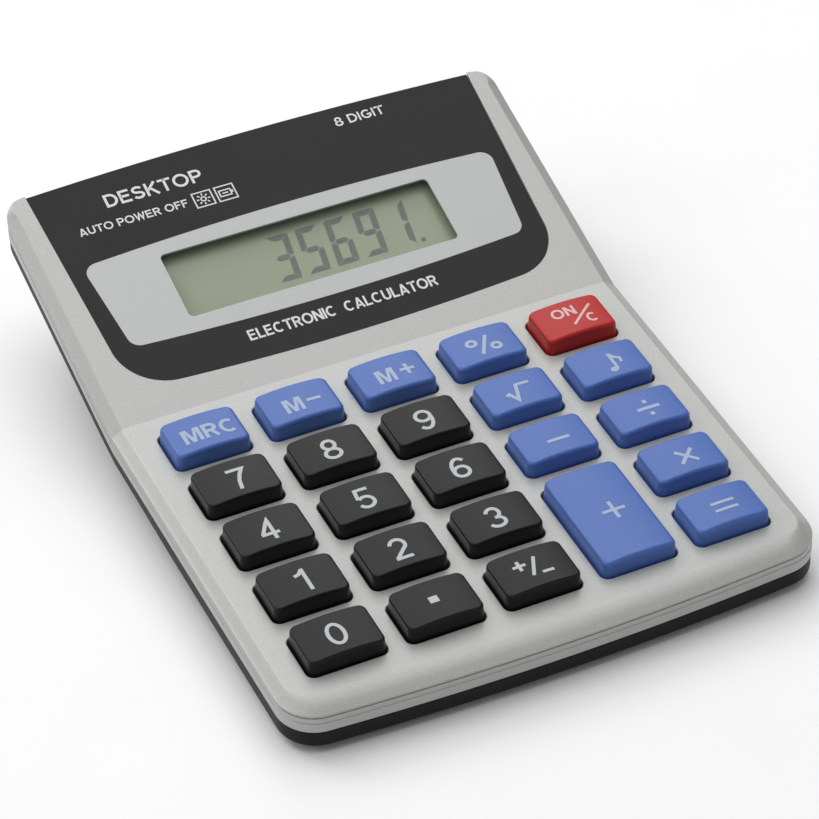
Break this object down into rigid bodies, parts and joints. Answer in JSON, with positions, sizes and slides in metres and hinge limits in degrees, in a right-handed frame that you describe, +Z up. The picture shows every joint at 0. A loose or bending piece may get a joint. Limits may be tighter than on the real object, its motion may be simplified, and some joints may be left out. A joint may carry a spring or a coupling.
{
  "type": "desk calculator",
  "caption": "Desk calculator with a slim bent body, a raised display face, sprung keys in a grid, and a hump underneath with a battery bay and a sliding door.",
  "frame": {"origin": "on the table, under the middle of the object's outline", "axes": "+X to the user's right, +Y away from the user towards the display, +Z up"},
  "size_m": [0.1134, 0.15, 0.0346],
  "materials": {
    "silver_shell": "fine metallic silver, satin",
    "black_shell": "fine matt grain",
    "panel": "printed sheet, semi-gloss",
    "clear_lens": "clear",
    "lcd_glass": "grey-green",
    "reflector": "satin film",
    "white_plastic": "moulded",
    "ribbon": "amber film",
    "circuit_board": "solder mask, satin",
    "epoxy": "cast epoxy",
    "components": "satin",
    "keypad_rubber": "moulded silicone",
    "carbon_rubber": "carbon filled",
    "brass_disc": "brushed",
    "wire_red": "PVC insulation",
    "wire_black": "PVC insulation",
    "battery_wrap": "printed wrap",
    "plated_steel": "nickel plated",
    "screw_steel": "zinc plated",
    "foot_rubber": "soft rubber",
    "key_black": "satin moulded",
    "key_blue": "satin moulded",
    "key_red": "satin moulded"
  },
  "bodies": {
    "housing": {"top_shell": "silver_shell", "bottom_shell": "black_shell", "display_panel": "panel", "window_lens": "clear_lens", "lcd_front_glass": "lcd_glass", "lcd_rear_glass": "lcd_glass", "lcd_reflector": "reflector", "lcd_holder": "white_plastic", "lcd_ribbon": "ribbon", "main_board": "circuit_board", "chip_blob": "epoxy", "board_components": "components", "keypad_rubber": "keypad_rubber", "contact_pills": "carbon_rubber", "buzzer": "brass_disc", "buzzer_wires": "wire_red", "battery_cell": "battery_wrap", "battery_spring": "plated_steel", "battery_plate": "plated_steel", "battery_wire_red": "wire_red", "battery_wire_black": "wire_black", "shell_screws": "screw_steel", "board_screws": "screw_steel", "rubber_feet": "foot_rubber"},
    "battery_door": {"battery_door": "black_shell"},
    "key_0": {"key_0": "key_black"},
    "key_point": {"key_point": "key_black"},
    "key_sign": {"key_sign": "key_black"},
    "key_plus": {"key_plus": "key_blue"},
    "key_equals": {"key_equals": "key_blue"},
    "key_1": {"key_1": "key_black"},
    "key_2": {"key_2": "key_black"},
    "key_3": {"key_3": "key_black"},
    "key_times": {"key_times": "key_blue"},
    "key_4": {"key_4": "key_black"},
    "key_5": {"key_5": "key_black"},
    "key_6": {"key_6": "key_black"},
    "key_minus": {"key_minus": "key_blue"},
    "key_divide": {"key_divide": "key_blue"},
    "key_7": {"key_7": "key_black"},
    "key_8": {"key_8": "key_black"},
    "key_9": {"key_9": "key_black"},
    "key_root": {"key_root": "key_blue"},
    "key_note": {"key_note": "key_blue"},
    "key_memory_recall": {"key_memory_recall": "key_blue"},
    "key_memory_minus": {"key_memory_minus": "key_blue"},
    "key_memory_plus": {"key_memory_plus": "key_blue"},
    "key_percent": {"key_percent": "key_blue"},
    "key_on_clear": {"key_on_clear": "key_red"}
  },
  "joints": [
    {"name": "press_0", "type": "slide", "parent": "housing", "child": "key_0", "axis": [0, 0.0523, -0.9986], "range_m": [0, 0.0012], "stiffness_N_per_m": 500, "springref_m": -0.0004, "deforming": ["keypad_rubber"]},
    {"name": "press_point", "type": "slide", "parent": "housing", "child": "key_point", "axis": [0, 0.0523, -0.9986], "range_m": [0, 0.0012], "stiffness_N_per_m": 500, "springref_m": -0.0004, "deforming": ["keypad_rubber"]},
    {"name": "press_sign", "type": "slide", "parent": "housing", "child": "key_sign", "axis": [0, 0.0523, -0.9986], "range_m": [0, 0.0012], "stiffness_N_per_m": 500, "springref_m": -0.0004, "deforming": ["keypad_rubber"]},
    {"name": "press_plus", "type": "slide", "parent": "housing", "child": "key_plus", "axis": [0, 0.0523, -0.9986], "range_m": [0, 0.0012], "stiffness_N_per_m": 500, "springref_m": -0.0004, "deforming": ["keypad_rubber"]},
    {"name": "press_equals", "type": "slide", "parent": "housing", "child": "key_equals", "axis": [0, 0.0523, -0.9986], "range_m": [0, 0.0012], "stiffness_N_per_m": 500, "springref_m": -0.0004, "deforming": ["keypad_rubber"]},
    {"name": "press_1", "type": "slide", "parent": "housing", "child": "key_1", "axis": [0, 0.0523, -0.9986], "range_m": [0, 0.0012], "stiffness_N_per_m": 500, "springref_m": -0.0004, "deforming": ["keypad_rubber"]},
    {"name": "press_2", "type": "slide", "parent": "housing", "child": "key_2", "axis": [0, 0.0523, -0.9986], "range_m": [0, 0.0012], "stiffness_N_per_m": 500, "springref_m": -0.0004, "deforming": ["keypad_rubber"]},
    {"name": "press_3", "type": "slide", "parent": "housing", "child": "key_3", "axis": [0, 0.0523, -0.9986], "range_m": [0, 0.0012], "stiffness_N_per_m": 500, "springref_m": -0.0004, "deforming": ["keypad_rubber"]},
    {"name": "press_times", "type": "slide", "parent": "housing", "child": "key_times", "axis": [0, 0.0523, -0.9986], "range_m": [0, 0.0012], "stiffness_N_per_m": 500, "springref_m": -0.0004, "deforming": ["keypad_rubber"]},
    {"name": "press_4", "type": "slide", "parent": "housing", "child": "key_4", "axis": [0, 0.0523, -0.9986], "range_m": [0, 0.0012], "stiffness_N_per_m": 500, "springref_m": -0.0004, "deforming": ["keypad_rubber"]},
    {"name": "press_5", "type": "slide", "parent": "housing", "child": "key_5", "axis": [0, 0.0523, -0.9986], "range_m": [0, 0.0012], "stiffness_N_per_m": 500, "springref_m": -0.0004, "deforming": ["keypad_rubber"]},
    {"name": "press_6", "type": "slide", "parent": "housing", "child": "key_6", "axis": [0, 0.0523, -0.9986], "range_m": [0, 0.0012], "stiffness_N_per_m": 500, "springref_m": -0.0004, "deforming": ["keypad_rubber"]},
    {"name": "press_minus", "type": "slide", "parent": "housing", "child": "key_minus", "axis": [0, 0.0523, -0.9986], "range_m": [0, 0.0012], "stiffness_N_per_m": 500, "springref_m": -0.0004, "deforming": ["keypad_rubber"]},
    {"name": "press_divide", "type": "slide", "parent": "housing", "child": "key_divide", "axis": [0, 0.0523, -0.9986], "range_m": [0, 0.0012], "stiffness_N_per_m": 500, "springref_m": -0.0004, "deforming": ["keypad_rubber"]},
    {"name": "press_7", "type": "slide", "parent": "housing", "child": "key_7", "axis": [0, 0.0523, -0.9986], "range_m": [0, 0.0012], "stiffness_N_per_m": 500, "springref_m": -0.0004, "deforming": ["keypad_rubber"]},
    {"name": "press_8", "type": "slide", "parent": "housing", "child": "key_8", "axis": [0, 0.0523, -0.9986], "range_m": [0, 0.0012], "stiffness_N_per_m": 500, "springref_m": -0.0004, "deforming": ["keypad_rubber"]},
    {"name": "press_9", "type": "slide", "parent": "housing", "child": "key_9", "axis": [0, 0.0523, -0.9986], "range_m": [0, 0.0012], "stiffness_N_per_m": 500, "springref_m": -0.0004, "deforming": ["keypad_rubber"]},
    {"name": "press_root", "type": "slide", "parent": "housing", "child": "key_root", "axis": [0, 0.0523, -0.9986], "range_m": [0, 0.0012], "stiffness_N_per_m": 500, "springref_m": -0.0004, "deforming": ["keypad_rubber"]},
    {"name": "press_note", "type": "slide", "parent": "housing", "child": "key_note", "axis": [0, 0.0523, -0.9986], "range_m": [0, 0.0012], "stiffness_N_per_m": 500, "springref_m": -0.0004, "deforming": ["keypad_rubber"]},
    {"name": "press_memory_recall", "type": "slide", "parent": "housing", "child": "key_memory_recall", "axis": [0, 0.0523, -0.9986], "range_m": [0, 0.0012], "stiffness_N_per_m": 500, "springref_m": -0.0004, "deforming": ["keypad_rubber"]},
    {"name": "press_memory_minus", "type": "slide", "parent": "housing", "child": "key_memory_minus", "axis": [0, 0.0523, -0.9986], "range_m": [0, 0.0012], "stiffness_N_per_m": 500, "springref_m": -0.0004, "deforming": ["keypad_rubber"]},
    {"name": "press_memory_plus", "type": "slide", "parent": "housing", "child": "key_memory_plus", "axis": [0, 0.0523, -0.9986], "range_m": [0, 0.0012], "stiffness_N_per_m": 500, "springref_m": -0.0004, "deforming": ["keypad_rubber"]},
    {"name": "press_percent", "type": "slide", "parent": "housing", "child": "key_percent", "axis": [0, 0.0523, -0.9986], "range_m": [0, 0.0012], "stiffness_N_per_m": 500, "springref_m": -0.0004, "deforming": ["keypad_rubber"]},
    {"name": "press_on_clear", "type": "slide", "parent": "housing", "child": "key_on_clear", "axis": [0, 0.0523, -0.9986], "range_m": [0, 0.0012], "stiffness_N_per_m": 500, "springref_m": -0.0004, "deforming": ["keypad_rubber"]},
    {"name": "door_slide", "type": "slide", "parent": "housing", "child": "battery_door", "axis": [0, 1, 0], "range_m": [0, 0.012]}
  ]
}
